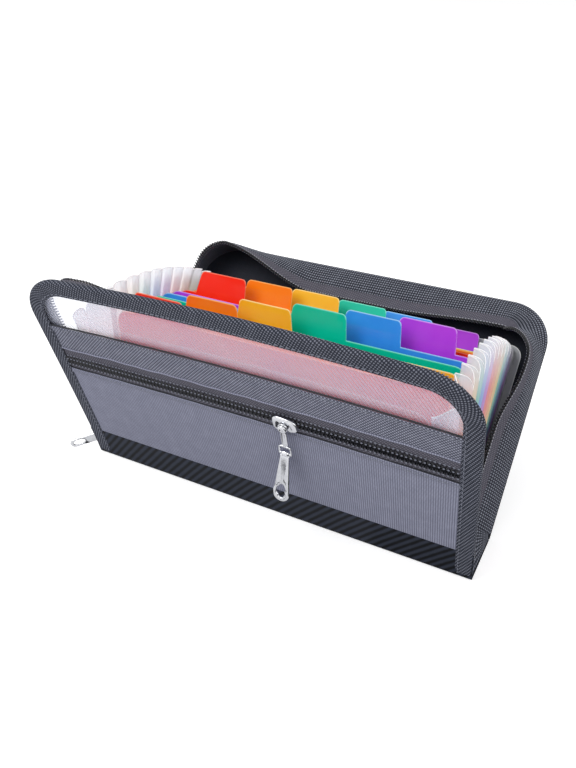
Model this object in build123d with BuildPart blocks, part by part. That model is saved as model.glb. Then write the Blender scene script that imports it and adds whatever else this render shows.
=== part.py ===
from build123d import *
import math
import os

os.makedirs("parts", exist_ok=True)

# Zip-around accordion file: two covers hinged on a spine, with a fan of coloured dividers between them.
# The frame has X along the width, Y from front to back and Z up; the origin is under the spine's centre.

# Case
case_width = 265.0
cover_height = 155.0
spine_depth = 40.0
corner_radius = 28.0
front_lean = 20.0
back_lean = 45.0
hinge_bead_radius = 2.0
running_gap = 0.3

# Sheet and cloth thicknesses
fabric_thickness = 0.5
board_thickness = 1.0
lining_thickness = 0.4
film_thickness = 0.5
cover_sheet_thickness = 0.8
spine_fabric_thickness = 0.6

# Front cover
binding_width = 10.0
binding_skin = 0.6
binding_edge = 1.5
pocket_room = 1.0
base_strip_height = 24.0
header_top = 119.5
layer_play = 0.2

# Zips
pocket_zip_height = 91.5
zip_tape_width = 13.0
zip_tape_thickness = 0.4
coil_width = 3.1
coil_thickness = 2.0
coil_gap = 1.2
tape_show_above = 6.5
tape_show_below = 3.5
cover_tape_depth = 4.0
main_tape_thickness = 0.5
main_coil_depth = 2.5
main_coil_thickness = 1.6
main_zip_inset = 2.45
zip_start = 6.0

# Slider of the pocket zip
slider_position = 27.5
slider_length = 15.0
slider_width = 10.5
slider_plate = 0.9
slider_back_plate = 0.6
slider_post_width = 0.7
slider_post_length = 4.0
slider_rim = 1.0
stud_radius = 1.5
stud_height = 1.9
stud_cap_radius = 2.6
stud_cap_height = 0.6
link_thickness = 1.2
link_length = 22.0
link_width = 4.0
link_fork_width = 8.0
link_fork_depth = 6.5
link_prong = 1.0
link_pin_radius = 0.8
pull_length = 33.0
pull_width = 10.0
pull_thickness = 1.6
pull_barrel_radius = 1.9
pull_slot_length = 9.0
pull_slot_width = 3.8
pull_swing = 4.0

# Slider of the main zip
main_slider_height = 5.5
main_slider_length = 11.0
main_slider_plate = 0.9
main_slider_edge = 0.5
main_lug_length = 3.0
main_pull_length = 26.0
main_pull_width = 8.0
main_pull_thickness = 1.4
main_pull_barrel_radius = 1.5
main_pull_pin_radius = 0.7
main_pull_slot_length = 8.0
main_pull_slot_width = 3.8
main_pull_turn = 45.0

# Tray wall, folded inward from the edge of the back panel
wall_width = 20.5
wall_thickness = 1.2
wall_tape_width = 7.5
wall_coil_width = 3.0
wall_start = 6.0
wall_side_fold = 14.0
wall_top_slack = 2.0
left_corner_fold = 10.5
right_corner_fold = 7.0
left_rise_start = 20.0
left_rise_run = 60.0
top_sink_lead = 5.0
top_sink_run = 75.0
right_rise_lead = 24.0
right_rise_run = 85.0
right_sink_start = 27.0
right_sink_run = 40.0

# Accordion
divider_count = 12
tab_positions = 6
divider_body_height = 111.0
tab_height = 15.0
tab_width = 38.0
tab_margin = 13.75
tab_slope_angle = 82.0
tab_corner = 3.0
divider_corner = 8.0
first_divider_lean = -4.6
last_divider_lean = 43.4
divider_seat_gap = 0.45
gusset_depth = 9.0
gusset_clearance = 1.8
gusset_height = 121.0
gusset_start = 4.0
gusset_film = 0.4
accordion_sheet_height = 124.0
accordion_sheet_start = 5.0

# The accordion fills the width between the folded tray walls, with a gusset at each side
wall_room = wall_side_fold + wall_thickness + lining_thickness + layer_play / 2
accordion_side_room = wall_room + gusset_clearance + gusset_depth
divider_width = case_width - 2 * accordion_side_room
tab_pitch = (divider_width - 2 * tab_margin - tab_width) / (tab_positions - 1)

# Heights of the layers of the front cover, outward from its middle plane
sheet_inner = -pocket_room / 2 - cover_sheet_thickness
sheet_outer = sheet_inner + cover_sheet_thickness
tape_inner = sheet_outer + pocket_room
fabric_inner = tape_inner + zip_tape_thickness
fabric_outer = fabric_inner + fabric_thickness
binding_inner = sheet_inner - binding_skin
binding_outer = fabric_outer + binding_skin
coil_outer = fabric_inner + coil_thickness

# Hinge lines and the planes of the two covers
front_hinge = Vector(0, -spine_depth / 2, hinge_bead_radius)
back_hinge = Vector(0, spine_depth / 2, hinge_bead_radius)
front_cos = math.cos(math.radians(front_lean))
front_sin = math.sin(math.radians(front_lean))
back_cos = math.cos(math.radians(back_lean))
back_sin = math.sin(math.radians(back_lean))
front_plane = Plane(origin=front_hinge, x_dir=(1, 0, 0), z_dir=(0, -front_cos, -front_sin))
back_plane = Plane(origin=back_hinge, x_dir=(1, 0, 0), z_dir=(0, -back_cos, back_sin))
panel_start = hinge_bead_radius + running_gap
half_width = case_width / 2

# Lengths along the tray wall and across it, which along the top lies over but for a little slack
wall_total = wall_width + wall_tape_width + wall_coil_width
wall_top_fold = wall_total - wall_top_slack
wall_leg = cover_height - corner_radius - wall_start
wall_turn = corner_radius * math.pi / 2
wall_top_run = case_width - 2 * corner_radius


def cover_blank(side_inset, top_inset, bottom, radius):
    """A cover's outline set in from its sides and top, with its two upper corners rounded."""
    top = cover_height - top_inset
    with BuildSketch(mode=Mode.PRIVATE) as blank:
        with Locations((0, (top + bottom) / 2)):
            Rectangle(case_width - 2 * side_inset, top - bottom)
        fillet(blank.vertices().group_by(Axis.Y)[-1], radius)
    return blank.sketch


def edge_band(inset, thickness, bottom):
    """A U-shaped band that follows a cover's two sides and top."""
    outer = cover_blank(inset, inset, bottom, corner_radius - inset)
    inner_inset = inset + thickness
    inner = cover_blank(inner_inset, inner_inset, bottom - thickness, corner_radius - inner_inset)
    return outer - inner


def smooth_step(value):
    """A step from 0 to 1 that is level at both ends."""
    value = min(max(value, 0.0), 1.0)
    return value * value * (3 - 2 * value)


def wall_stations():
    """Places round the tray wall: the middle of the corner's arc, the outward angle and the length run."""
    core_x = half_width - corner_radius
    core_y = cover_height - corner_radius
    leg_steps = 12
    turn_steps = 8
    top_steps = 24
    stations = []
    for step in range(leg_steps):
        along = wall_leg * step / leg_steps
        stations.append((-core_x, wall_start + along, math.pi, along))
    for step in range(turn_steps):
        turn = math.pi / 2 * step / turn_steps
        stations.append((-core_x, core_y, math.pi - turn, wall_leg + corner_radius * turn))
    for step in range(top_steps):
        along = wall_top_run * step / top_steps
        stations.append((along - core_x, core_y, math.pi / 2, wall_leg + wall_turn + along))
    for step in range(turn_steps):
        turn = math.pi / 2 * step / turn_steps
        along = wall_leg + wall_turn + wall_top_run + corner_radius * turn
        stations.append((core_x, core_y, math.pi / 2 - turn, along))
    for step in range(leg_steps + 1):
        along = wall_leg * step / leg_steps
        stations.append((core_x, core_y - along, 0, wall_leg + 2 * wall_turn + wall_top_run + along))
    return stations


def wall_fold(run):
    """How far the free edge of the soft wall has folded inward at a length along it.
    It lies over most along the top, and stands up at the two upper corners."""
    left_rise = smooth_step((run - left_rise_start) / left_rise_run)
    top_sink = smooth_step((run - wall_leg - wall_turn + top_sink_lead) / top_sink_run)
    past_top = run - wall_leg - wall_turn - wall_top_run
    right_rise = smooth_step((past_top + right_rise_lead) / right_rise_run)
    right_sink = smooth_step((past_top - wall_turn - right_sink_start) / right_sink_run)
    fold = wall_side_fold + (left_corner_fold - wall_side_fold) * left_rise
    fold += (wall_top_fold - left_corner_fold) * top_sink
    fold += (right_corner_fold - wall_top_fold) * right_rise
    return fold + (wall_side_fold - right_corner_fold) * right_sink


def wall_points(share, inset):
    """Points of the tray wall's U at a share of its width and at a depth into its thickness."""
    points = []
    for middle_x, middle_y, angle, run in wall_stations():
        fold = wall_fold(run)
        rise = math.sqrt(wall_total ** 2 - fold ** 2)
        radius = corner_radius - fold * share - inset * (1 - share + share * rise / wall_total)
        height = tray_floor + rise * share - inset * share * fold / wall_total
        place = (middle_x + radius * math.cos(angle), middle_y + radius * math.sin(angle), height)
        points.append(back_plane.from_local_coords(place))
    return points


def wall_band(low_share, high_share, inset, thickness):
    """A band of the tray wall between two shares of its width, closed by ruled faces and two flat ends."""
    inner = inset + thickness
    corners = ((low_share, inset), (high_share, inset), (high_share, inner), (low_share, inner))
    lines = [wall_points(share, depth) for share, depth in corners]
    curves = [Edge.make_spline(line) for line in lines]
    faces = []
    for index in range(4):
        faces.append(Face.make_surface_from_curves(curves[index], curves[(index + 1) % 4]))
    for end in (0, -1):
        faces.append(Face(Wire.make_polygon([line[end] for line in lines])))
    return Solid(Shell(faces))


def rectangle_between(x_low, x_high, y_low, y_high):
    """A rectangle given by its two limits along each axis of the sketch."""
    with BuildSketch(mode=Mode.PRIVATE) as panel:
        with Locations(((x_low + x_high) / 2, (y_low + y_high) / 2)):
            Rectangle(x_high - x_low, y_high - y_low)
    return panel.sketch


def film_blank(bottom, top, corner):
    """An accordion film as wide as the dividers, with its two upper corners rounded."""
    with BuildSketch(mode=Mode.PRIVATE) as blank:
        with Locations((0, (top + bottom) / 2)):
            Rectangle(divider_width, top - bottom)
        fillet(blank.vertices().group_by(Axis.Y)[-1], corner)
    return blank.sketch


def finish(part, name):
    """Name a finished piece and write it."""
    part.label = name
    export_step(part, f"parts/{name}.step")


# Spine: fabric, board and lining between the two hinge lines
spine_edge = spine_depth / 2 - hinge_bead_radius - running_gap
board_bottom = spine_fabric_thickness
lining_bottom = board_bottom + board_thickness
base_bottom = lining_bottom + lining_thickness
base_top = base_bottom + film_thickness

with BuildPart() as spine_cover:
    with BuildSketch(Plane.XY):
        Rectangle(case_width, 2 * spine_edge)
    extrude(amount=spine_fabric_thickness)
finish(spine_cover.part, "spine_cover")

with BuildPart() as spine_board:
    with BuildSketch(Plane.XY.offset(board_bottom)):
        Rectangle(case_width - 2 * binding_edge, 2 * spine_edge)
    extrude(amount=board_thickness)
finish(spine_board.part, "spine_board")

with BuildPart() as spine_lining:
    with BuildSketch(Plane.XY.offset(lining_bottom)):
        Rectangle(case_width - 2 * binding_edge, 2 * spine_edge)
    extrude(amount=lining_thickness)
finish(spine_lining.part, "spine_lining")

with BuildPart() as accordion_base:
    with BuildSketch(Plane.XY.offset(base_bottom)):
        Rectangle(divider_width, 2 * spine_edge)
    extrude(amount=film_thickness)
finish(accordion_base.part, "accordion_base")

# Front cover: frosted sheet with a zipped cloth pocket sewn over it, bound on three sides
sheet_blank = cover_blank(binding_edge, binding_edge, panel_start, corner_radius - binding_edge)
with BuildPart() as front_sheet:
    with BuildSketch(front_plane.offset(sheet_inner)):
        add(sheet_blank)
    extrude(amount=cover_sheet_thickness)
finish(front_sheet.part, "front_sheet")

panel_side = half_width - binding_edge
with BuildPart() as header_strip:
    header_bottom = pocket_zip_height + coil_gap / 2 + coil_width + tape_show_above
    with BuildSketch(front_plane.offset(fabric_inner)):
        add(rectangle_between(-panel_side, panel_side, header_bottom, header_top))
    extrude(amount=fabric_thickness)
finish(header_strip.part, "header_strip")

with BuildPart() as pocket_panel:
    pocket_top = pocket_zip_height - coil_gap / 2 - coil_width - tape_show_below
    with BuildSketch(front_plane.offset(fabric_inner)):
        add(rectangle_between(-panel_side, panel_side, base_strip_height, pocket_top))
    extrude(amount=fabric_thickness)
finish(pocket_panel.part, "pocket_panel")

with BuildPart() as base_strip:
    with BuildSketch(front_plane.offset(fabric_inner)):
        add(rectangle_between(-panel_side, panel_side, 0, base_strip_height))
    extrude(amount=fabric_thickness)
    with Locations(Plane(origin=front_hinge, z_dir=(1, 0, 0))):
        Cylinder(hinge_bead_radius, case_width)
finish(base_strip.part, "base_strip")

with BuildPart() as front_binding:
    with BuildSketch(front_plane.offset(binding_inner)):
        add(edge_band(0, binding_width, panel_start))
    extrude(amount=binding_outer - binding_inner)
    with BuildSketch(front_plane.offset(sheet_inner)):
        add(cover_blank(binding_edge, binding_edge, 0, corner_radius - binding_edge))
    extrude(amount=fabric_outer - sheet_inner, mode=Mode.SUBTRACT)
finish(front_binding.part, "front_binding")

# Pocket zip: two tapes, each with its half of the coil
tape_near = coil_gap / 2 + layer_play
tape_far = tape_near + zip_tape_width
coil_near = coil_gap / 2
coil_far = coil_near + coil_width
coil_side = half_width - binding_width - running_gap
for side_name, side in (("upper", 1), ("lower", -1)):
    tape_edges = sorted(pocket_zip_height + side * edge for edge in (tape_near, tape_far))
    coil_edges = sorted(pocket_zip_height + side * edge for edge in (coil_near, coil_far))
    with BuildPart() as pocket_tape:
        with BuildSketch(front_plane.offset(tape_inner)):
            add(rectangle_between(-panel_side, panel_side, *tape_edges))
        extrude(amount=zip_tape_thickness)
    finish(pocket_tape.part, f"pocket_zip_tape_{side_name}")
    with BuildPart() as pocket_coil:
        with BuildSketch(front_plane.offset(fabric_inner)):
            add(rectangle_between(-coil_side, coil_side, *coil_edges))
        extrude(amount=coil_thickness)
    finish(pocket_coil.part, f"pocket_zip_coil_{side_name}")

# Front half of the main zip, standing inward from the binding
main_tape_inset = main_zip_inset - main_tape_thickness / 2
main_coil_inset = main_zip_inset - main_coil_thickness / 2
cover_coil_root = binding_inner - cover_tape_depth
cover_coil_tip = cover_coil_root - main_coil_depth
with BuildPart() as cover_zip_tape:
    with BuildSketch(front_plane.offset(cover_coil_root)):
        add(edge_band(main_tape_inset, main_tape_thickness, zip_start))
    extrude(amount=cover_tape_depth)
finish(cover_zip_tape.part, "cover_zip_tape")

with BuildPart() as cover_zip_coil:
    with BuildSketch(front_plane.offset(cover_coil_tip)):
        add(edge_band(main_coil_inset, main_coil_thickness, zip_start))
    extrude(amount=main_coil_depth)
finish(cover_zip_coil.part, "cover_zip_coil")

# Back cover: fabric, board and lining, with the tray wall folded in along three sides
fabric_back = -hinge_bead_radius
board_back = fabric_back + spine_fabric_thickness
lining_back = board_back + board_thickness
tray_floor = lining_back + lining_thickness

with BuildPart() as back_fabric:
    with BuildSketch(back_plane.offset(fabric_back)):
        add(cover_blank(0, 0, 0, corner_radius))
    extrude(amount=spine_fabric_thickness)
    with Locations(Plane(origin=back_hinge, z_dir=(1, 0, 0))):
        Cylinder(hinge_bead_radius, case_width)
finish(back_fabric.part, "back_fabric")

back_blank = cover_blank(binding_edge, binding_edge, panel_start, corner_radius - binding_edge)
with BuildPart() as back_board:
    with BuildSketch(back_plane.offset(board_back)):
        add(back_blank)
    extrude(amount=board_thickness)
finish(back_board.part, "back_board")

with BuildPart() as back_lining:
    with BuildSketch(back_plane.offset(lining_back)):
        add(back_blank)
    extrude(amount=lining_thickness)
finish(back_lining.part, "back_lining")

tape_share = wall_width / wall_total
coil_share = (wall_width + wall_tape_width) / wall_total
tape_inset = (wall_thickness - main_tape_thickness) / 2
coil_inset = (wall_thickness - main_coil_thickness) / 2 + layer_play
lining_inset = wall_thickness + layer_play / 2
wall_pieces = (
    ("tray_wall", 0, tape_share, 0, wall_thickness),
    ("wall_lining", 0, tape_share, lining_inset, lining_thickness),
    ("tray_zip_tape", tape_share, coil_share, tape_inset, main_tape_thickness),
    ("tray_zip_coil", coil_share, 1, coil_inset, main_coil_thickness),
)
for piece_name, low_share, high_share, inset, thickness in wall_pieces:
    with BuildPart() as wall_piece:
        add(wall_band(low_share, high_share, inset, thickness))
    finish(wall_piece.part, piece_name)

# First and last film of the accordion, fixed to the two covers
end_film = film_blank(accordion_sheet_start, accordion_sheet_height, divider_corner)
with BuildPart() as accordion_front_sheet:
    with BuildSketch(front_plane.offset(sheet_inner - film_thickness)):
        add(end_film)
    extrude(amount=film_thickness)
finish(accordion_front_sheet.part, "accordion_front_sheet")

with BuildPart() as accordion_back_sheet:
    with BuildSketch(back_plane.offset(tray_floor)):
        add(end_film)
    extrude(amount=film_thickness)
finish(accordion_back_sheet.part, "accordion_back_sheet")

# Dividers: each turns on its own lower edge, and they lie parallel when the case is shut
front_film_face = sheet_inner - film_thickness
first_seat = -spine_depth / 2 - front_film_face
last_seat = spine_depth / 2 - tray_floor - film_thickness
seat_pitch = (last_seat - first_seat) / (divider_count + 1)
seat_height = base_top + film_thickness / 2 + divider_seat_gap
lean_step = (last_divider_lean - first_divider_lean) / (divider_count - 1)
colour_names = ("red", "orange", "yellow", "green", "blue", "purple")
tab_row = (tab_positions - 1) * tab_pitch


def lean_direction(lean):
    """The upward direction of a sheet that leans back by an angle in degrees."""
    return Vector(0, math.sin(math.radians(lean)), math.cos(math.radians(lean)))


film_feet = [front_hinge + front_plane.z_dir * front_film_face]
film_leans = [-front_lean]
for number in range(1, divider_count + 1):
    film_feet.append(Vector(0, first_seat + seat_pitch * number, seat_height))
    film_leans.append(first_divider_lean + lean_step * (number - 1))
film_feet.append(back_hinge + back_plane.z_dir * (tray_floor + film_thickness))
film_leans.append(back_lean)

for number in range(1, divider_count + 1):
    upward = lean_direction(film_leans[number])
    forward = Vector(1, 0, 0).cross(upward)
    sheet_plane = Plane(origin=film_feet[number], x_dir=(1, 0, 0), z_dir=forward)
    position = (number - 1) % tab_positions
    tab_centre = position * tab_pitch - tab_row / 2
    with BuildPart() as divider:
        with BuildSketch(sheet_plane.offset(-film_thickness / 2)) as divider_outline:
            add(film_blank(0, divider_body_height, divider_corner))
            with Locations((tab_centre, divider_body_height + tab_height / 2)):
                Trapezoid(tab_width, tab_height, tab_slope_angle)
            fillet(divider_outline.vertices().group_by(Axis.Y)[-1], tab_corner)
        extrude(amount=film_thickness)
    set_name = "front" if number <= tab_positions else "back"
    finish(divider.part, f"divider_{number:02d}_{colour_names[position]}_{set_name}")

# Gussets: a row of V-shaped film pleats down each side, joining neighbouring sheets
for side_name, side in (("left", -1), ("right", 1)):
    root_x = side * (divider_width / 2 + running_gap)
    fold_x = side * (divider_width / 2 + gusset_depth)
    with BuildPart() as gusset:
        for pleat in range(divider_count + 1):
            middle_lean = (film_leans[pleat] + film_leans[pleat + 1]) / 2
            middle_up = lean_direction(middle_lean)
            middle_foot = (film_feet[pleat] + film_feet[pleat + 1]) * 0.5
            for height in (gusset_start, gusset_height):
                level = Plane(origin=middle_foot + middle_up * height, x_dir=(1, 0, 0), z_dir=middle_up)
                near = film_feet[pleat] + lean_direction(film_leans[pleat]) * height
                far = film_feet[pleat + 1] + lean_direction(film_leans[pleat + 1]) * height
                play = film_thickness / 2 + running_gap
                near_y = level.to_local_coords(near).Y + play
                far_y = level.to_local_coords(far).Y - play
                inner_x = fold_x - side * gusset_film * 2 * gusset_depth / (far_y - near_y)
                with BuildSketch(level):
                    with BuildLine():
                        Polyline(
                            (root_x, near_y),
                            (fold_x, (near_y + far_y) / 2),
                            (root_x, far_y),
                            (root_x, far_y - gusset_film),
                            (inner_x, (near_y + far_y) / 2),
                            (root_x, near_y + gusset_film),
                            close=True,
                        )
                    make_face()
            loft(ruled=True)
    finish(gusset.part, f"{side_name}_gusset")

# Slider of the pocket zip, with the link and pull that hang from its stud
slider_centre = front_plane.from_local_coords((slider_position, pocket_zip_height, 0))
slider_plane = Plane(origin=slider_centre, x_dir=(1, 0, 0), z_dir=front_plane.z_dir)
plate_bottom = coil_outer + layer_play
plate_top = plate_bottom + slider_plate
rim_bottom = fabric_outer + layer_play
back_plate_bottom = tape_inner - layer_play - slider_back_plate
stud_top = plate_top + stud_height

with BuildPart() as pocket_slider:
    with BuildSketch(slider_plane.offset(plate_bottom)):
        RectangleRounded(slider_length, slider_width, slider_width / 4)
    extrude(amount=slider_plate)
    with BuildSketch(slider_plane.offset(rim_bottom)):
        with Locations((0, (slider_width - slider_rim) / 2), (0, (slider_rim - slider_width) / 2)):
            Rectangle(slider_length / 2, slider_rim)
    extrude(amount=plate_bottom - rim_bottom)
    with BuildSketch(slider_plane.offset(back_plate_bottom)):
        RectangleRounded(slider_length - slider_rim, slider_width - slider_rim, slider_width / 4)
    extrude(amount=slider_back_plate)
    with BuildSketch(slider_plane.offset(back_plate_bottom)):
        Rectangle(slider_post_length, slider_post_width)
    extrude(amount=plate_top - back_plate_bottom)
    with BuildSketch(slider_plane.offset(plate_top)):
        Circle(stud_radius)
    extrude(amount=stud_height)
    with BuildSketch(slider_plane.offset(stud_top)):
        Circle(stud_cap_radius)
    extrude(amount=stud_cap_height)
finish(pocket_slider.part, "pocket_slider")

swing = math.radians(pull_swing)
hang_side = slider_plane.x_dir * math.cos(swing) - slider_plane.y_dir * math.sin(swing)
hang_plane = Plane(origin=slider_centre, x_dir=hang_side, z_dir=slider_plane.z_dir)
link_middle = plate_top + stud_height / 2
link_bottom = link_middle - link_thickness / 2
eye_radius = stud_radius + running_gap
pin_centre = hang_plane.from_local_coords((0, -link_length, link_middle))
pin_plane = Plane(origin=pin_centre, x_dir=hang_plane.z_dir, z_dir=hang_plane.x_dir)

with BuildPart() as pocket_link:
    with BuildSketch(hang_plane.offset(link_bottom)):
        Circle(eye_radius + link_prong + running_gap)
        add(rectangle_between(-link_width / 2, link_width / 2, link_fork_depth - link_length, 0))
        fork_top = link_fork_depth - link_length
        fork_end = -link_length - link_pin_radius
        add(rectangle_between(-link_fork_width / 2, link_fork_width / 2, fork_end, fork_top))
        slot_side = link_fork_width / 2 - link_prong
        slot_end = fork_end - link_prong
        add(rectangle_between(-slot_side, slot_side, slot_end, fork_top - link_prong), mode=Mode.SUBTRACT)
        Circle(eye_radius, mode=Mode.SUBTRACT)
    extrude(amount=link_thickness)
    with Locations(pin_plane):
        Cylinder(link_pin_radius, link_fork_width)
finish(pocket_link.part, "pocket_link")

# The pull hangs plumb from the link's pin, clear of the leaning cover
plumb_out = hang_plane.z_dir * front_cos + hang_plane.y_dir * front_sin
pull_plane = Plane(origin=pin_centre, x_dir=hang_plane.x_dir, z_dir=plumb_out)
barrel_length = link_fork_width - 2 * link_prong - 2 * running_gap
pull_top = -pull_barrel_radius / 2
pull_end = -pull_length
with BuildPart() as pocket_pull:
    with BuildSketch(pull_plane.offset(-pull_thickness / 2)) as pull_outline:
        with BuildLine():
            shoulder = pull_width / 2
            belly = pull_end + shoulder
            neck = barrel_length / 2 - running_gap
            Line((neck, pull_top), (shoulder, belly))
            ThreePointArc((shoulder, belly), (0, pull_end), (-shoulder, belly))
            Line((-shoulder, belly), (-neck, pull_top))
            Line((-neck, pull_top), (neck, pull_top))
        make_face()
        with Locations((0, belly + pull_slot_length / 4)):
            SlotOverall(pull_slot_length, pull_slot_width, rotation=90, mode=Mode.SUBTRACT)
    extrude(amount=pull_thickness)
    with Locations(pin_plane):
        Cylinder(pull_barrel_radius, barrel_length)
        Cylinder(link_pin_radius + running_gap, case_width, mode=Mode.SUBTRACT)
finish(pocket_pull.part, "pocket_pull")

# Slider of the main zip, parked at the zip's lower left end, and its pull
main_zip_x = main_zip_inset - half_width
mesh_line = cover_coil_tip - coil_gap / 2
main_slider_centre = front_plane.from_local_coords((main_zip_x, main_slider_height, mesh_line))
run_plane = Plane(origin=main_slider_centre, x_dir=-front_plane.z_dir, z_dir=(-1, 0, 0))
channel_half = main_coil_thickness / 2 + layer_play
main_slider_span = 2 * main_coil_depth + coil_gap + 2 * main_slider_edge
lug_height = main_pull_pin_radius + 2 * main_slider_edge
lug_centre = channel_half + main_slider_plate + lug_height
lug_plane = Plane(origin=main_slider_centre, x_dir=run_plane.y_dir, z_dir=run_plane.z_dir)

with BuildPart() as main_slider:
    for plate_start in (channel_half, -channel_half - main_slider_plate):
        with BuildSketch(run_plane.offset(plate_start)):
            RectangleRounded(main_slider_span, main_slider_length, main_slider_span / 4)
        extrude(amount=main_slider_plate)
    with BuildSketch(run_plane.offset(-channel_half)):
        Rectangle(slider_post_width, slider_post_length)
    extrude(amount=2 * channel_half)
    with BuildSketch(lug_plane.offset(channel_half + main_slider_plate)):
        Rectangle(slider_rim, main_lug_length)
    extrude(amount=lug_height + main_pull_pin_radius + main_slider_edge)
    with Locations(Plane(origin=lug_plane.from_local_coords((0, 0, lug_centre)), z_dir=lug_plane.x_dir)):
        Cylinder(main_pull_pin_radius, main_pull_width)
finish(main_slider.part, "main_slider")

# The pull's plane has the pin along its X axis and the pull's length along its Y axis
main_pin = lug_plane.from_local_coords((0, 0, lug_centre))
turn = math.radians(main_pull_turn)
pull_along = lug_plane.z_dir * math.cos(turn) + lug_plane.y_dir * math.sin(turn)
main_pull_plane = Plane(origin=main_pin, x_dir=lug_plane.x_dir, z_dir=lug_plane.x_dir.cross(pull_along))
ear_inner = slider_rim / 2 + running_gap
ear_outer = main_pull_width / 2
pull_round = main_pull_width / 2 - running_gap

with BuildPart() as main_pull:
    with BuildSketch(main_pull_plane.offset(-main_pull_thickness / 2)):
        add(rectangle_between(-ear_outer, ear_outer, 0, main_pull_length - pull_round))
        with Locations((0, main_pull_length - pull_round)):
            Circle(pull_round)
        throat = main_lug_length + 2 * running_gap
        add(rectangle_between(-ear_inner, ear_inner, -throat, throat), mode=Mode.SUBTRACT)
        with Locations((0, main_pull_length - pull_round - main_pull_slot_length / 3)):
            SlotOverall(main_pull_slot_length, main_pull_slot_width, rotation=90, mode=Mode.SUBTRACT)
    extrude(amount=main_pull_thickness)
    ear_middle = (ear_inner + ear_outer) / 2
    barrel_spots = [main_pull_plane.from_local_coords((spot, 0, 0)) for spot in (-ear_middle, ear_middle)]
    for spot in barrel_spots:
        with Locations(Plane(origin=spot, z_dir=main_pull_plane.x_dir)):
            Cylinder(main_pull_barrel_radius, ear_outer - ear_inner)
    with Locations(Plane(origin=main_pin, z_dir=main_pull_plane.x_dir)):
        Cylinder(main_pull_pin_radius + running_gap, case_width, mode=Mode.SUBTRACT)
finish(main_pull.part, "main_pull")
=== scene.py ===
import math

import bpy
import numpy as np
from mathutils import Matrix


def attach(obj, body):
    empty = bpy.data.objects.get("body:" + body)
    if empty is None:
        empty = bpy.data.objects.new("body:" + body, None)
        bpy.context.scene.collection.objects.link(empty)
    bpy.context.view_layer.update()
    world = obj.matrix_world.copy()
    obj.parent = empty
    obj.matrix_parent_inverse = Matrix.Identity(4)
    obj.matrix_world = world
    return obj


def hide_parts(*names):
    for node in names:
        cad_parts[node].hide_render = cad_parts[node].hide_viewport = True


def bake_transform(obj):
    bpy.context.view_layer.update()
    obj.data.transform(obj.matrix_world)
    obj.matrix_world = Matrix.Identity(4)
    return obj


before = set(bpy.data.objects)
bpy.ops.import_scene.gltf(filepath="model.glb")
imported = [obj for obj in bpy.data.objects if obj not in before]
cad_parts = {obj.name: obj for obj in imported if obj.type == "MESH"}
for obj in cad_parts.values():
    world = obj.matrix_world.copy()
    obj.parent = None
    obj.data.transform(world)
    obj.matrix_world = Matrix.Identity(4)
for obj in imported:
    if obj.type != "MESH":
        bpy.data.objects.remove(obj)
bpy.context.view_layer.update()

# Sizes of the case in millimetres, as its solids have them
MM = 0.001
HALF = 132.5
COVER = 155.0
CORNER = 28.0
BEAD = 2.0
FRONT_LEAN = math.radians(20)
BACK_LEAN = math.radians(45)
ACROSS = np.array([1.0, 0.0, 0.0])
FRONT_HINGE = np.array([0.0, -20.0, BEAD])
FRONT_UP = np.array([0.0, -math.sin(FRONT_LEAN), math.cos(FRONT_LEAN)])
FRONT_OUT = np.array([0.0, -math.cos(FRONT_LEAN), -math.sin(FRONT_LEAN)])
BACK_HINGE = np.array([0.0, 20.0, BEAD])
BACK_UP = np.array([0.0, math.sin(BACK_LEAN), math.cos(BACK_LEAN)])
BACK_IN = np.array([0.0, -math.cos(BACK_LEAN), math.sin(BACK_LEAN)])
BOW_LEFT = -2.1
BOW_MIDDLE = 3.9
BOW_RIGHT = -1.4
BINDING = 10.0
BINDING_SEAM = 8.4
WINDOW_FOOT = 119.5
HEADER_FOOT = 101.7
ZIP_LINE = 91.5
POCKET_TOP = 84.3
STRIP_TOP = 24.0
PANEL_FOOT = 2.3
MAIN_ZIP_FOOT = 6.0
PANEL_MARGIN = 1.5
PANEL_SIDE = HALF - PANEL_MARGIN
SEAM_SIDE = 122.0

RIB_PITCH = 1.8

# Thicknesses of the sheets, cloths and tapes
WINDOW = 0.8
CLOTH = 0.55
WRAP = 0.5
LINING = 0.4
POCKET_TAPE = 0.4
MAIN_TAPE = 0.5

# Places of the front cover's layers, outward from its middle plane
SHEET_LEVEL = -0.9
TAPE_LEVEL = 0.7
CLOTH_LEVEL = 1.15
POCKET_COIL_LEVEL = 1.75
MAIN_ZIP_ROOT = -1.7
MAIN_TAPE_END = -6.3
MAIN_COIL_LEVEL = -7.1

# Sizes of the accordion
FILM = 0.5
FILM_SIDE = 106.0
FILM_CORNER = 8.0
FIRST_FOOT = -15.3
FOOT_PITCH = 2.9
FOOT_LEVEL = 3.2
SHEET_FOOT = 5.0
SHEET_TOP = 124.0
BACK_SHEET_SIDE = 119.0
PLEAT_FILM = 0.3
PLEAT_SIDE = FILM_SIDE + 0.3
FOLD_SIDE = 115.0
PLEAT_FOOT = 4.0
PLEAT_TOPS = {"left": 126.0, "right": 123.5}
PLEAT_DROP = 9.0
PLEAT_DIP = 1.5
BODY_TOP = 111.0
TAB_RISE = 15.0
TAB_HALF = 19.0
TAB_CORNER = 3.0
TAB_SLOPE = math.radians(82)
TAB_PITCH = 29.3
FIRST_LEAN = -4.6
LEAN_STEP = 48.0 / 11
HUES = ("red", "orange", "yellow", "green", "blue", "purple")
DIVIDERS = 2 * len(HUES)
rng = np.random.default_rng(11)


def place(hinge, up, out, x, v, n):
    """A point in a cover's own terms: x across, v up from the hinge and n along its normal."""
    x, v, n = np.broadcast_arrays(*(np.asarray(a, float) for a in (x, v, n)))
    return hinge + x[..., None] * ACROSS + v[..., None] * up + n[..., None] * out


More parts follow.
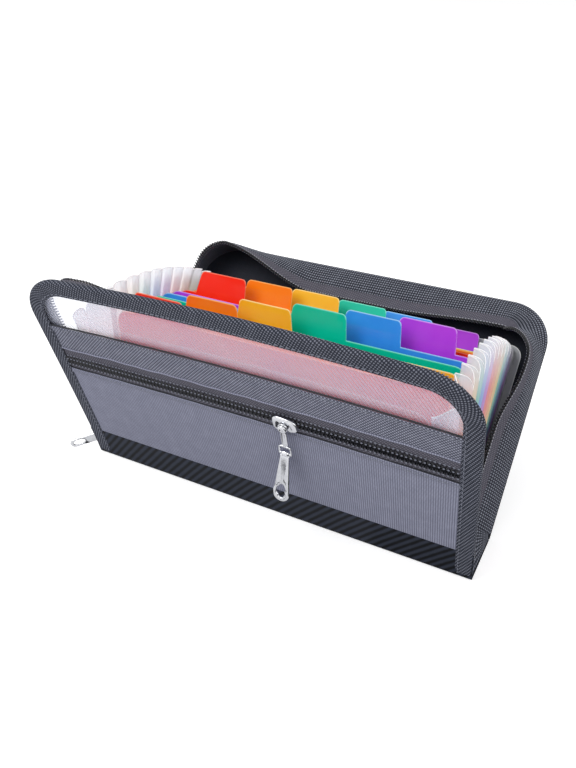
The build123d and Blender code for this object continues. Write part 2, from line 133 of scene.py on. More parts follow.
def on_front(x, v, n):
    """A point of the front cover, n outward. The soft cover bows back in its middle and forward at its
    upper corners: a parabola across, through the bow at the left, middle and right, that grows with v
    squared."""
    s = np.asarray(x) / HALF
    rise = np.maximum(np.asarray(v), 0) / COVER
    sides = BOW_LEFT * (s * s - s) / 2 + BOW_RIGHT * (s * s + s) / 2
    bow = rise ** 2 * (BOW_MIDDLE * (1 - s * s) + sides)
    return place(FRONT_HINGE, FRONT_UP, FRONT_OUT, x, v, n - bow)


def on_back(x, v, m):
    """A point of the back cover, m inward from its lining."""
    return place(BACK_HINGE, BACK_UP, BACK_IN, x, v, m)


def joined(*parts):
    """Arrays as the coordinates of points, or a grid's own two coordinates as its flat map."""
    return np.stack(np.broadcast_arrays(*parts), -1)


def ease(t):
    """A smooth step from 0 to 1: three t squared less two t cubed, flat at both ends."""
    t = np.clip(t, 0, 1)
    return t * t * (3 - 2 * t)


def unit(vectors):
    """Vectors divided by their lengths."""
    return vectors / np.maximum(np.linalg.norm(vectors, axis=-1, keepdims=True), 1e-9)


def normals(mid):
    """Unit normals of a grid: the cross product of its differences along its two directions."""
    return unit(np.cross(np.gradient(mid, axis=0), np.gradient(mid, axis=1)))


def run_along(path):
    """The length run along a line of points: the sum of its steps so far, from 0 at its first."""
    return np.concatenate([[0], np.cumsum(np.linalg.norm(np.diff(path, axis=0), axis=1))])


def sampled(path, run, at):
    """A line's points at given lengths along it, each read off between its two neighbours."""
    return np.stack([np.interp(at, run, path[:, k]) for k in range(path.shape[1])], -1)


def make_piece(name, points, quads, caps, flat, finish):
    """A mesh of points in millimetres with a flat map in millimetres, turned outward by its signed volume."""
    points = np.asarray(points, float).reshape(-1, 3)
    middle = points - points.mean(0)
    a, b, c, d = (middle[quads[:, k]] for k in range(4))
    volume = (np.cross(a, b) * c).sum() + (np.cross(a, c) * d).sum()
    if volume < 0:
        quads = quads[:, ::-1]
        caps = [cap[::-1] for cap in caps]
    mesh = bpy.data.meshes.new(name)
    mesh.from_pydata((points * MM).tolist(), [], quads.tolist() + [list(cap) for cap in caps])
    mesh.update()
    corners = np.empty(len(mesh.loops), np.int32)
    mesh.loops.foreach_get("vertex_index", corners)
    layer = mesh.uv_layers.new(name="UVMap")
    layer.data.foreach_set("uv", np.asarray(flat, np.float32).reshape(-1, 2)[corners].ravel())
    mesh.polygons.foreach_set("use_smooth", np.ones(len(mesh.polygons), bool))
    mesh.set_sharp_from_angle(angle=math.radians(45))
    made = bpy.data.objects.new(name, mesh)
    bpy.context.scene.collection.objects.link(made)
    made.data.materials.append(finish)
    return made


def shell(name, mid, thickness, flat, finish):
    """A thin closed piece: a grid moved half its thickness each way along its normals, with a rim round
    its four edges."""
    push = normals(mid) * (np.broadcast_to(thickness, mid.shape[:2]) / 2)[..., None]
    rows, columns = mid.shape[:2]
    count = rows * columns
    index = np.arange(count).reshape(rows, columns)
    face = joined(index[:-1, :-1], index[1:, :-1], index[1:, 1:], index[:-1, 1:]).reshape(-1, 4)
    rim = np.concatenate([index[0], index[1:, -1], index[-1, -2::-1], index[-2:0:-1, 0]])
    ahead = np.roll(rim, -1)
    side = joined(rim, ahead, ahead + count, rim + count)
    quads = np.concatenate([face, face[:, ::-1] + count, side])
    points = np.concatenate([(mid + push).reshape(-1, 3), (mid - push).reshape(-1, 3)])
    flat = np.concatenate([flat.reshape(-1, 2)] * 2)
    return make_piece(name, points, quads, [], flat, finish)


def tube(rows, columns):
    """The quads between rings that follow each other, and the two rings that close the ends."""
    index = np.arange(rows * columns).reshape(rows, columns)
    ahead = np.roll(index, -1, axis=1)
    quads = joined(index[:-1], index[1:], ahead[1:], ahead[:-1]).reshape(-1, 4)
    return quads, np.stack([index[0], index[-1][::-1]])


def sweep(name, rings, flat, finish):
    """A closed profile carried along a path, a ring for each step, with its two ends closed."""
    return make_piece(name, rings, *tube(*rings.shape[:2]), flat, finish)


def loop(name, rings, finish):
    """A closed profile carried round a closed path, such as a ring or a plate round its slot."""
    rows, columns = rings.shape[:2]
    index = np.arange(rows * columns).reshape(rows, columns)
    ahead, onward = np.roll(index, -1, axis=1), np.roll(index, -1, axis=0)
    quads = joined(index, onward, np.roll(onward, -1, axis=1), ahead).reshape(-1, 4)
    return make_piece(name, rings, quads, [], np.zeros((rows * columns, 2)), finish)


def stitches(name, centre, along, up, finish, length=2.3, width=0.7, height=0.55):
    """A row of sewn stitches: one short spindle of four six-sided rings, copied to each centre along the
    seam and turned to its direction there."""
    along, up = unit(along), unit(np.broadcast_to(up, centre.shape))
    side = np.cross(up, along)
    reach = np.array([-1, -0.6, 0.6, 1])[:, None] * length / 2
    thick = np.array([0.35, 1, 1, 0.35])[:, None]
    turn = np.arange(6) * math.pi / 3
    ring = (thick * np.cos(turn) * width / 2, thick * np.sin(turn) * height / 2)
    local = joined(reach, *ring).reshape(-1, 3)
    axes = np.stack([along, side, up], 1)
    points = centre[:, None, :] + np.einsum("pk,ski->spi", local, axes)
    shift = (np.arange(len(centre)) * len(local))[:, None, None]
    quads, ends = (faces + shift for faces in tube(4, 6))
    flat = np.zeros((points.shape[0] * len(local), 2))
    return make_piece(name, points, quads.reshape(-1, 4), ends.reshape(-1, 6), flat, finish)


def even_steps(path, pitch):
    """Points at equal spacing along a line of points, with the line's direction there."""
    run = run_along(path)
    spots = sampled(path, run, np.arange(pitch / 2, run[-1], pitch))
    return spots, unit(np.gradient(spots, axis=0))


def coil(name, path, wide, high, finish, pitch, width, height, wire, phase=0.0):
    """A zip's nylon coil: a flattened helix along a path, width across by height, drawn as a wire with
    four sides. Wide and high are the directions of its width and height at each point of the path."""
    run = run_along(path)
    at = np.arange(0, run[-1], pitch / 8)
    path, wide, high = (sampled(line, run, at) for line in (path, wide, high))
    turn = (2 * math.pi * (at / pitch + phase))[:, None]
    core = path + unit(wide) * np.cos(turn) * width / 2 + unit(high) * np.sin(turn) * height / 2
    tangent = unit(np.gradient(core, axis=0))
    first = unit(np.cross(tangent, unit(np.gradient(path, axis=0))))
    second = np.cross(tangent, first)
    angle = (np.arange(4) * math.pi / 2)[None, :, None]
    rings = core[:, None] + wire * (np.cos(angle) * first[:, None] + np.sin(angle) * second[:, None])
    flat = joined(at[:, None], np.arange(4) * wire)
    return sweep(name, rings, flat, finish)


def cover_top(x, half, top, radius):
    """Height of a cover's outline at x: level, then a quarter circle down at each upper corner."""
    into = np.clip(np.abs(x) - (half - radius), 0, radius)
    return top - radius + np.sqrt(np.maximum(radius ** 2 - into ** 2, 0))


def cover_grid(half, bottom, top, radius, rows, columns=60, turns=10):
    """A cover's blank as a grid: columns at x values that crowd in the corners, each run from the bottom
    to the outline."""
    corner = half - radius + radius * np.sin(np.linspace(0, math.pi / 2, turns))
    x = np.concatenate([-corner[::-1], np.linspace(radius - half, half - radius, columns)[1:-1], corner])
    share = np.linspace(0, 1, rows)
    v = bottom + (cover_top(x, half, top, radius) - bottom)[:, None] * share
    return np.broadcast_to(x[:, None], v.shape), v


def band_grid(side, low, high, columns, rows):
    """A straight band as a grid, from one side to the other and from low to high."""
    return np.meshgrid(np.linspace(-side, side, columns), np.linspace(low, high, rows), indexing="ij")


def edge_path(bottom, step):
    """The U round a cover, up, across and down: the middles of its corners' arcs and the cosine and sine
    of the outward angle, as columns, and the length run."""
    side, top = HALF - CORNER, COVER - CORNER
    leg = np.linspace(bottom, top, int((top - bottom) / step) + 2)
    arc = np.linspace(math.pi, math.pi / 2, int(CORNER * 1.6 / step) + 2)[1:-1]
    level = np.linspace(-side, side, int(2 * side / step) + 2)
    core_x = np.concatenate([0 * leg - side, 0 * arc - side, level, 0 * arc + side, 0 * leg + side])
    core_v = np.concatenate([leg, 0 * arc + top, 0 * level + top, 0 * arc + top, leg[::-1]])
    angle = np.concatenate([0 * leg + math.pi, arc, 0 * level + math.pi / 2, math.pi - arc[::-1], 0 * leg])
    core_x, core_v, cos_a, sin_a = np.stack([core_x, core_v, np.cos(angle), np.sin(angle)])[..., None]
    run = run_along(np.concatenate([core_x + CORNER * cos_a, core_v + CORNER * sin_a], 1))
    return core_x, core_v, cos_a, sin_a, run


def hexed(text):
    """A colour written in sRGB hex as linear numbers."""
    raw = np.array([int(text[k:k + 2], 16) / 255 for k in (0, 2, 4)])
    line = np.where(raw <= 0.04045, raw / 12.92, ((raw + 0.055) / 1.055) ** 2.4)
    return (*line.tolist(), 1.0)


def node(tree, kind, sockets=None, **settings):
    """Adds one node: settings go on the node itself, and each socket gets a value or a link."""
    made = tree.nodes.new(kind)
    for key, value in settings.items():
        setattr(made, key, value)
    for key, value in (sockets or {}).items():
        if isinstance(value, bpy.types.NodeSocket):
            tree.links.new(value, made.inputs[key])
        else:
            made.inputs[key].default_value = value
    return made


def new_finish(name):
    """A new material and its node tree, still empty."""
    made = bpy.data.materials.new(name)
    made.use_nodes = True
    made.node_tree.nodes.clear()
    return made, made.node_tree


# At scale 1 a wave texture repeats every tenth of pi, so this over a pitch in millimetres is its scale
WAVE = math.pi / 10
DYE_MOTTLE = 0.1


def woven_cloth(name, low, high, warp, weft, turn=0.0, relief=0.12, roughness=0.85, span=(0.05, 0.7)):
    """Woven polyester: one or two sets of threads at a pitch in millimetres, lit on their crowns, with a
    slow mottle of the dye. The span gives the share of a thread's height over which its colour goes from
    low to high."""
    made, tree = new_finish(name)
    flat = node(tree, "ShaderNodeUVMap")
    lie = node(tree, "ShaderNodeMapping", {"Vector": flat.outputs[0], "Rotation": (0, 0, turn)}).outputs[0]
    wave = {"Vector": lie, "Distortion": 0.4, "Detail": 1.0, "Detail Scale": 0.6}
    ends = node(tree, "ShaderNodeTexWave", {**wave, "Scale": WAVE / warp}, bands_direction="X")
    crown = ends.outputs["Fac"]
    if weft:
        picks = node(tree, "ShaderNodeTexWave", {**wave, "Scale": WAVE / weft}, bands_direction="Y")
        both = node(tree, "ShaderNodeMath", {0: crown, 1: picks.outputs["Fac"]}, operation="MULTIPLY")
        crown = both.outputs[0]
    noise = {"Vector": flat.outputs[0], "Scale": 0.14, "Detail": 4.0, "Roughness": 0.7}
    cloud = node(tree, "ShaderNodeTexNoise", noise).outputs["Fac"]
    share = node(tree, "ShaderNodeMapRange", {0: cloud, 1: 0.3, 2: 0.7, 3: -DYE_MOTTLE, 4: DYE_MOTTLE})
    mix = node(tree, "ShaderNodeMath", {0: crown, 1: share.outputs[0]}, operation="ADD", use_clamp=True)
    tint = node(tree, "ShaderNodeValToRGB", {"Fac": mix.outputs[0]})
    for element, place_at, tone in zip(tint.color_ramp.elements, span, (low, high)):
        element.position = place_at
        element.color = hexed(tone)
    bump = node(tree, "ShaderNodeBump", {"Height": crown, "Strength": 0.6, "Distance": relief * MM})
    shader = node(tree, "ShaderNodeBsdfPrincipled", {
        "Base Color": tint.outputs[0], "Normal": bump.outputs[0],
        "Roughness": roughness, "Specular IOR Level": 0.12, "Sheen Weight": 0.03,
    })
    node(tree, "ShaderNodeOutputMaterial", {"Surface": shader.outputs[0]})
    return made


def clear_film(name, body, edge, alpha, roughness, band=None, hue=None):
    """Polypropylene film: a tinted sheet that lets some of what is behind it through, with a bright cut
    edge. The flat coordinates are the place along the sheet, which on a pleat is its height, and the
    distance from the edge, in millimetres. A band is the pitch of its fine lines, and a hue the dyed sheet
    that shines through its lower part: its colour is painted into the film as painted light, at about half
    strength up to 95 mm and gone by 122 mm."""
    made, tree = new_finish(name)
    flat = node(tree, "ShaderNodeUVMap").outputs[0]
    apart = node(tree, "ShaderNodeSeparateXYZ", {0: flat})
    high, inset = apart.outputs["X"], apart.outputs["Y"]
    surface = {"Roughness": roughness, "Specular IOR Level": 0.1}
    cloud = node(tree, "ShaderNodeTexNoise", {"Vector": flat, "Scale": 0.05, "Detail": 3.0}).outputs["Fac"]
    tones = {0: cloud, 6: hexed(body[0]), 7: hexed(body[1])}
    tone = node(tree, "ShaderNodeMix", tones, data_type="RGBA").outputs[2]
    # Painted light: the dyed sheet's colour shining through, mixed into the film's lower part and fading
    # upward
    if hue:
        low = node(tree, "ShaderNodeMapRange", {0: high, 1: 95.0, 2: 122.0, 3: 0.52, 4: 0.0}).outputs[0]
        tone = node(tree, "ShaderNodeMix", {0: low, 6: tone, 7: hexed(hue)}, data_type="RGBA").outputs[2]
    if band:
        slant = {"Vector": flat, "Rotation": (0, 0, math.radians(-35))}
        wave = {"Vector": node(tree, "ShaderNodeMapping", slant).outputs[0], "Scale": WAVE / band}
        line = node(tree, "ShaderNodeTexWave", wave, bands_direction="X").outputs["Fac"]
        see = node(tree, "ShaderNodeMapRange", {0: line, 1: 0.45, 2: 1.0, 3: alpha, 4: alpha + 0.17})
        bump = node(tree, "ShaderNodeBump", {"Height": line, "Strength": 0.3, "Distance": 0.06 * MM})
        surface["Normal"] = bump.outputs[0]
    else:
        near = node(tree, "ShaderNodeMapRange", {0: inset, 1: 0.15, 2: 0.8, 3: 1.0, 4: 0.0}).outputs[0]
        tone = node(tree, "ShaderNodeMix", {0: near, 6: tone, 7: hexed(edge)}, data_type="RGBA").outputs[2]
        edge_alpha = min(1.0, 2 * alpha + 0.15)
        see = node(tree, "ShaderNodeMapRange", {0: near, 1: 0.0, 2: 1.0, 3: alpha, 4: edge_alpha})
    surface.update({"Base Color": tone, "Alpha": see.outputs[0]})
    shader = node(tree, "ShaderNodeBsdfPrincipled", surface)
    node(tree, "ShaderNodeOutputMaterial", {"Surface": shader.outputs[0]})
    return made


def plain_finish(name, low, high, grain, roughness, metallic=0.0, relief=0.02):
    """A solid finish with a fine grain in millimetres that shifts its colour, roughness and surface."""
    made, tree = new_finish(name)
    spot = node(tree, "ShaderNodeTexCoord").outputs["Object"]
    noise = {"Vector": spot, "Scale": 1 / (grain * MM), "Detail": 3.0}
    cloud = node(tree, "ShaderNodeTexNoise", noise).outputs["Fac"]
    tone = node(tree, "ShaderNodeMix", {0: cloud, 6: hexed(low), 7: hexed(high)}, data_type="RGBA")
    rough = node(tree, "ShaderNodeMapRange", {0: cloud, 1: 0.3, 2: 0.7, 3: roughness[0], 4: roughness[1]})
    bump = node(tree, "ShaderNodeBump", {"Height": cloud, "Strength": 0.3, "Distance": relief * MM})
    shader = node(tree, "ShaderNodeBsdfPrincipled", {
        "Base Color": tone.outputs[2], "Normal": bump.outputs[0],
        "Roughness": rough.outputs[0], "Metallic": metallic,
    })
    node(tree, "ShaderNodeOutputMaterial", {"Surface": shader.outputs[0]})
    return made


# Finishes. Threads are drawn about twice as coarse as real ones, so that they show
# Oxford gives the pocket its even grey-violet face, and the header a weave that stands out
BIAS = math.radians(45)
grey_oxford = woven_cloth("polyester_oxford_grey", "666879", "9C9EB0", 1.3, 1.1, 0.0, 0.08)
header_oxford = woven_cloth("polyester_oxford_header", "484A57", "9A9CAC", 1.4, 1.4, BIAS, 0.15)
# Twill gives the foot its bluish black with broad slanting ribs
SLANT = math.radians(40)
black_twill = woven_cloth("polyester_twill_black", "0B0D13", "2B303D", 4.2, None, SLANT, 0.2, 0.7, (0.1, 0.9))
# Grosgrain and webbing give the rims their pale thread ends on a dark ground
LEAN = math.radians(28)
binding_cloth = woven_cloth("grosgrain_binding", "282B35", "7E818E", 1.4, 1.6, LEAN, 0.3, span=(0.1, 0.9))
webbing_cloth = woven_cloth("ribbed_webbing", "24262F", "8E929F", RIB_PITCH, 2.4, 0.0, 0.3, span=(0.08, 0.95))
# Linings give the tray its near black floor and its grey inner wall
lining_cloth = woven_cloth("lining_taffeta_black", "1C1E26", "343842", 0.9, 0.9, 0.0, 0.05, 0.6)
wall_cloth = woven_cloth("wall_lining_grey", "40424D", "666874", 1.1, 1.1, 0.0, 0.08)
# Tape gives the zips a smooth brownish grey edge, coil and thread their black teeth and pale dots
zip_tape_cloth = woven_cloth("knitted_zip_tape", "46454F", "6E6C76", 1.2, 1.6, SLANT, 0.12)
nylon_coil = plain_finish("nylon_coil_black", "0C0D11", "1E1F25", 1.5, (0.28, 0.42))
thread_black = plain_finish("sewing_thread_black", "14151A", "24262E", 0.6, (0.6, 0.8))
thread_grey = plain_finish("sewing_thread_grey", "5C5F6C", "7A7D8A", 0.6, (0.6, 0.8))
thread_pale = plain_finish("sewing_thread_pale", "84868F", "A6A8B2", 0.6, (0.6, 0.8))
# Nickel gives the sliders and pulls their bright mirror, chipboard the stiffeners their dull cut edge
nickel = plain_finish("nickel_plate", "C6C8CC", "E8E9EC", 2.0, (0.06, 0.13), 1.0, 0.01)
chipboard = plain_finish("grey_chipboard", "77746E", "8F8B84", 1.2, (0.8, 0.95), 0.0, 0.1)
# Frosted film gives a milky bluish window with fine slanting lines, pleats with bright edges, a first
# sheet that hardly shows and a last one in a pale grey
window_film = clear_film("frosted_film_lined", ("DCE2FC", "F0F3FF"), "FFFFFF", 0.2, 0.35, 2.0)
pleat_film = clear_film("frosted_film_pleats", ("EEF0F6", "FAFBFF"), "FFFFFF", 0.4, 0.3)
front_sheet_film = clear_film("clear_film_sheet", ("F4F5FA", "FFFFFF"), "F8F9FF", 0.02, 0.3)
back_sheet_film = clear_film("frosted_film_sheet", ("D4D8DC", "E4E6EA"), "FFFFFF", 0.78, 0.35)
# Dyed film gives each divider its clear bright hue, deeper where two lie over each other
HUE_TONES = {
    "red": (("FF1C08", "FF3418"), "FF8A6E"),
    "orange": (("FF7206", "FF8E0C"), "FFC070"),
    "yellow": (("F8B418", "FFCA38"), "FFE79A"),
    "green": (("00BC9A", "02CEAC"), "7CEAD0"),
    "blue": (("2A82EC", "42A6F6"), "A6D8FF"),
    "purple": (("AE32D8", "C450E6"), "DDA0F4"),
}
hue_films = {
    hue: clear_film("polypropylene_" + hue, body, edge, 0.86, 0.3)
    for hue, (body, edge) in HUE_TONES.items()
}
# Beside a divider the pleats give a breath of its hue, which fades towards their tops: painted light, the
# colour of the divider that shines through them painted into their own
pleat_shine_films = {
    hue: clear_film("frosted_film_pleat_shine_" + hue, ("E6E9F1", "F8F9FD"), "FFFFFF", 0.4, 0.3, hue=body[1])
    for hue, (body, edge) in HUE_TONES.items()
}


def dress(made, body, slot, *nodes):
    """Sets a piece on the body that carries it, and hides the solids that it stands for. The slot is not
    used.
    """
    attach(made, body)
    if nodes:
        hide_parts(*nodes)
    return made


def soft_edge(v, low, high, full, thin=0.25, ease_over=1.2):
    """A cloth's thickness, thinner at its two long edges, where the fold rounds off."""
    near = np.minimum(v - low, high - v)
    return full * (thin + (1 - thin) * ease(near / ease_over))


# Front cover: the frosted window sheet, with the cloth of the zipped pocket over it
x, v = cover_grid(PANEL_SIDE, PANEL_FOOT, COVER - PANEL_MARGIN, CORNER - PANEL_MARGIN, 28)
made = shell("window_sheet", on_front(x, v, SHEET_LEVEL), WINDOW, joined(x, v), window_film)
dress(made, "front_cover", "frosted_film", "front_sheet")

rows_at = np.array([0, 0.3, 0.8, 1.5, 3, 3.4, 4.2])
for name, low, high, finish, solid in (
    ("header_cloth", HEADER_FOOT, WINDOW_FOOT, header_oxford, "header_strip"),
    ("pocket_cloth", STRIP_TOP - 2, POCKET_TOP, grey_oxford, "pocket_panel"),
):
    inner = np.linspace(low + 5, high - 5, 14)
    levels = np.concatenate([low + rows_at, inner, high - rows_at[::-1]])
    x, v = np.meshgrid(np.linspace(-PANEL_SIDE, PANEL_SIDE, 90), levels, indexing="ij")
    hem = 0.35 * ease((v - high + 3.6) / 0.5)
    belly = 0.5 * np.sin(np.pi * (v - low) / (high - low)) * (0.6 + 0.4 * np.sin(x / 31 + low))
    mid = on_front(x, v, CLOTH_LEVEL + hem + belly * np.cos(x / PANEL_SIDE * 1.4))
    made = shell(name, mid, soft_edge(v, low, high, CLOTH), joined(x, v), finish)
    dress(made, "front_cover", "grey_oxford", solid)
    seam = on_front(np.linspace(-SEAM_SIDE, SEAM_SIDE, 200), high - 1.7, CLOTH_LEVEL + 0.8)
    made = stitches(name + "_stitches", *even_steps(seam, 3.1), FRONT_OUT, thread_grey)
    dress(made, "front_cover", "grey_oxford")

# Rolled hems of the zip's opening, and the dark seams beside the cloth. The seam below the pocket zip is
# drawn black as painted shade: it darkens the crease between the lower tape and the pocket's hem
turn = np.arange(8) * math.pi / 4
for name, height, out, radius, wave, finish, slot in (
    ("header_hem", HEADER_FOOT, 1.35, 0.6, 0.35, grey_oxford, "grey_oxford"),
    ("pocket_hem", POCKET_TOP, 1.45, 0.45, 0.15, grey_oxford, "grey_oxford"),
    ("header_seam", WINDOW_FOOT + 0.5, 1.1, 0.5, 0.1, thread_black, "zip_tape"),
    # Painted shade: a black cord drawn as a seam in the crease above the pocket's hem
    ("pocket_seam_shade", POCKET_TOP + 0.55, 1.15, 0.35, 0.1, thread_black, "zip_tape"),
):
    x = np.linspace(-SEAM_SIDE - 0.3, SEAM_SIDE + 0.3, 220)
    middle = height + wave * (np.sin(x / 2.9) * 0.5 + np.sin(x / 7.3 + 1) * 0.5)
    rings = on_front(x[:, None], middle[:, None] + radius * np.cos(turn), out + radius * np.sin(turn))
    made = sweep(name, rings, joined(x[:, None], radius * turn[None]), finish)
    dress(made, "front_cover", slot)

# Black strip at the foot, turned round the hinge bead
wrap = np.linspace(0, 1, 14)
angle = math.radians(250) * wrap[::-1]
foot_v = np.concatenate([-BEAD * np.sin(angle), np.linspace(1.2, STRIP_TOP, 14)])
foot_n = np.concatenate([BEAD * np.cos(angle) - 0.25, 1.35 + 0.4 * np.exp(-np.linspace(0, 4, 14))])
x = np.linspace(-HALF, HALF, 80)[:, None]
mid = on_front(x, foot_v[None], foot_n[None])
run = run_along(joined(foot_v, foot_n))
made = shell("base_cloth", mid, WRAP, joined(x, run[None]), black_twill)
dress(made, "front_cover", "black_twill", "base_strip")

# Ribbed binding folded over the edge of three sides, with a stitched seam on each face
core_x, core_v, cos_a, sin_a, run = edge_path(PANEL_FOOT, 1.5)
fold = np.linspace(-math.pi / 2, math.pi / 2, 9)
face_in = np.linspace(BINDING, 1.8, 9)
inside = [BINDING - 0.2, 1.5, 1.5, BINDING - 0.2]
depth = np.concatenate([face_in, 1.6 - 1.6 * np.cos(fold), face_in[::-1], inside])
crown = 0.3 * np.sin(np.pi * face_in / BINDING)
inside = [-1.35, -1.3, 1.4, 1.45]
level = np.concatenate([1.75 + crown, -2.1 * np.sin(fold) * 0.95, -1.7 - crown[::-1], inside])
band = CORNER - depth[None]
rings = on_front(core_x + band * cos_a, core_v + band * sin_a, level[None])
around = run_along(joined(depth, level))
made = sweep("binding", rings, joined(run[:, None], around[None]), binding_cloth)
dress(made, "front_cover", "binding_tape", "front_binding")
band = CORNER - BINDING_SEAM
for name, level, out in (("outer", 2.05, 1), ("inner", -2.0, -1)):
    line = on_front(core_x + band * cos_a, core_v + band * sin_a, level)[:, 0]
    row = even_steps(line, 3.3)
    made = stitches(f"binding_stitches_{name}", *row, FRONT_OUT * out, thread_grey, 2.0, 0.6)
    dress(made, "front_cover", "binding_tape")

# Pocket zip: two tapes, the two halves of its coil, and the thread that sews them down
for name, side, phase in (("upper", 1, 0.0), ("lower", -1, 0.5)):
    x, v = band_grid(PANEL_SIDE, 0.1, 13.8, 80, 10)
    mid = on_front(x, ZIP_LINE + side * v, TAPE_LEVEL + 0.12 * np.sin(x / 9 + side))
    made = shell(f"pocket_tape_{name}", mid, POCKET_TAPE, joined(x, v), zip_tape_cloth)
    dress(made, "front_cover", "zip_tape", f"pocket_zip_tape_{name}")
    x = np.linspace(-SEAM_SIDE, SEAM_SIDE, 200)
    path = on_front(x, ZIP_LINE + side * 1.55, POCKET_COIL_LEVEL)
    wide = np.broadcast_to(FRONT_UP * side, path.shape)
    high = np.broadcast_to(FRONT_OUT, path.shape)
    size = {"pitch": 2.4, "width": 3.0, "height": 0.8, "wire": 0.5}
    made = coil(f"pocket_coil_{name}", path, wide, high, nylon_coil, **size, phase=phase)
    dress(made, "front_cover", "zip_coil", f"pocket_zip_coil_{name}")
    rows = [(2.2, 2.4, 1.2, 0.85)] + ([(4.2, 1.3, 1.4, 0.9)] if side > 0 else [])
    for row, (height, out, length, width) in enumerate(rows):
        seam = even_steps(on_front(x, ZIP_LINE + side * height, out), 2.4)
        row_name = f"pocket_coil_stitches_{name}_{row}"
        made = stitches(row_name, *seam, FRONT_OUT, thread_grey, length, width, 0.7)
        dress(made, "front_cover", "zip_tape")


def coil_threads(name, body, line, facing, run, size):
    """The thread that sews a coil down: a row of stitches a millimetre off a line on each of its faces,
    their size given as length, width and height."""
    for face_name, way in (("outer", 1), ("inner", -1)):
        spots, along = even_steps(line + facing * way, 2.0)
        ups = sampled(facing, run / run[-1], np.linspace(0, 1, len(spots))) * way
        made = stitches(f"{name}_stitches_{face_name}", spots, along, ups, thread_pale, *size)
        dress(made, body, "zip_coil")


# Front half of the main zip, standing inward from the binding
core_x, core_v, cos_a, sin_a, run = edge_path(MAIN_ZIP_FOOT, 1.5)
sag = 5.6 * ease((run - 30) / 60) * ease((run[-1] - 30 - run) / 60) + 0.3 * np.sin(run / 13)
rise_up = ease((run - 153) / 14) * (1 - ease((run - 175) / 22))
droop = (sag * (1 - rise_up) + 1.9 * rise_up)[:, None]


def zip_edge(reach):
    """The front half of the zip at a reach behind the cover: the soft tape droops inward by its share of
    the reach to the power 1.3, but stands up in one short wave near the upper left corner."""
    share = (MAIN_ZIP_ROOT - reach) / (MAIN_ZIP_ROOT - MAIN_COIL_LEVEL)
    band = CORNER - 2.45 - droop * share ** 1.3
    return on_front(core_x + band * cos_a, core_v + band * sin_a, reach)


reach = np.linspace(MAIN_ZIP_ROOT, MAIN_TAPE_END, 6)[None]
made = shell("cover_tape", zip_edge(reach), MAIN_TAPE, joined(run[:, None], reach), zip_tape_cloth)
dress(made, "front_cover", "zip_tape", "cover_zip_tape")
edge = zip_edge(np.array([[MAIN_TAPE_END, MAIN_COIL_LEVEL, 2 * MAIN_COIL_LEVEL - MAIN_TAPE_END]]))
path = edge[:, 1]
deep = unit(edge[:, 0] - edge[:, 2])
outward = unit(np.cross(deep, np.gradient(path, axis=0)))
outward = outward * np.sign((outward * (cos_a * ACROSS + sin_a * FRONT_UP)).sum(-1).mean())
made = coil("cover_coil", path, deep, outward, nylon_coil, pitch=2.0, width=2.4, height=1.1, wire=0.5)
dress(made, "front_cover", "zip_coil", "cover_zip_coil")
coil_threads("cover_coil", "front_cover", path + deep * 0.6, outward, run, (1.2, 0.55, 0.4))

# Back cover: outer cloth turned round the bead, and the lining
x, v = cover_grid(HALF, 0.0, COVER, CORNER, 30)
mid = on_back(x, v, -1.75 + 0.15 * np.sin(x / 23) * np.sin(v / 19))
made = shell("back_cloth", mid, CLOTH, joined(x, v), black_twill)
dress(made, "back_tray", "black_twill", "back_fabric")
turn = np.linspace(math.radians(180), math.radians(-40), 14)
x = np.linspace(-HALF, HALF, 60)[:, None]
bead = BEAD - 0.25
mid = on_back(x, bead * np.sin(-turn)[None] * 0.98, bead * np.cos(turn)[None])
made = shell("back_bead_cloth", mid, WRAP, joined(x, (turn * BEAD)[None]), black_twill)
dress(made, "back_tray", "black_twill")
x, v = cover_grid(PANEL_SIDE, PANEL_FOOT, COVER - PANEL_MARGIN, CORNER - PANEL_MARGIN, 26)
made = shell("tray_lining", on_back(x, v, -LINING / 2), LINING, joined(x, v), lining_cloth)
dress(made, "back_tray", "lining_cloth", "back_lining")

# Tray wall of ribbed webbing with the other half of the main zip on its free edge
WALL = 31.0
WALL_FOOT = 0.8
WALL_BELLY = 1.1
SIDE_FOLD = 14.0
WEBBING_SHARE = 20.5 / WALL
TAPE_SHARE = 28.0 / WALL
core_x, core_v, cos_a, sin_a, run = edge_path(WALL_FOOT, 0.6)
top_start = COVER - CORNER - WALL_FOOT + CORNER * math.pi / 2
top_end = top_start + 2 * (HALF - CORNER)
right_leg = top_end + CORNER * math.pi / 2
# Each change of the inward fold: by how much, from where along the edge, and over what length
FOLD_CHANGES = (
    (-3.5, 25, 60),
    (18.5, top_start - 5, 75),
    (-2.5, top_end - 75, 70),
    (-20.5, top_end + 32, 28),
    (7.0, right_leg + 27, 40),
)
fold = SIDE_FOLD + sum(change * ease((run - start) / length) for change, start, length in FOLD_CHANGES)
fold = fold[:, None]
stand = np.sqrt(WALL ** 2 - fold ** 2)
even = ease((run - top_end + 100) / 60)[:, None]


def evened(line, steps=20):
    """A line averaged along its length with raised-cosine weights, its ends carried on straight, on the
    right half only."""
    weights = np.hanning(2 * steps + 3)[1:-1]
    ahead, behind = 2 * line[0] - line[steps:0:-1], 2 * line[-1] - line[-2:-steps - 2:-1]
    longer = np.concatenate([ahead, line, behind])[:, 0]
    smooth = np.convolve(longer, weights / weights.sum(), "valid")
    return line + even * (smooth[:, None] - line)


rim = CORNER - 0.7
rim_x, rim_v = core_x + rim * cos_a, core_v + rim * sin_a
free_x, free_v, free_m = evened(rim_x - fold * cos_a), evened(rim_v - fold * sin_a), evened(stand)


def wall(share):
    """The wall at a share of its width: it folds inward by a length that changes along the edge, most
    along the top, and rises by what is left of its width. Between its two edges it bellies outward by a
    sine of the share."""
    belly = WALL_BELLY * np.sin(np.pi * share) / WALL
    x = rim_x + (free_x - rim_x) * share + belly * stand * cos_a
    v = rim_v + (free_v - rim_v) * share + belly * stand * sin_a
    return on_back(x, v, free_m * share + belly * fold)


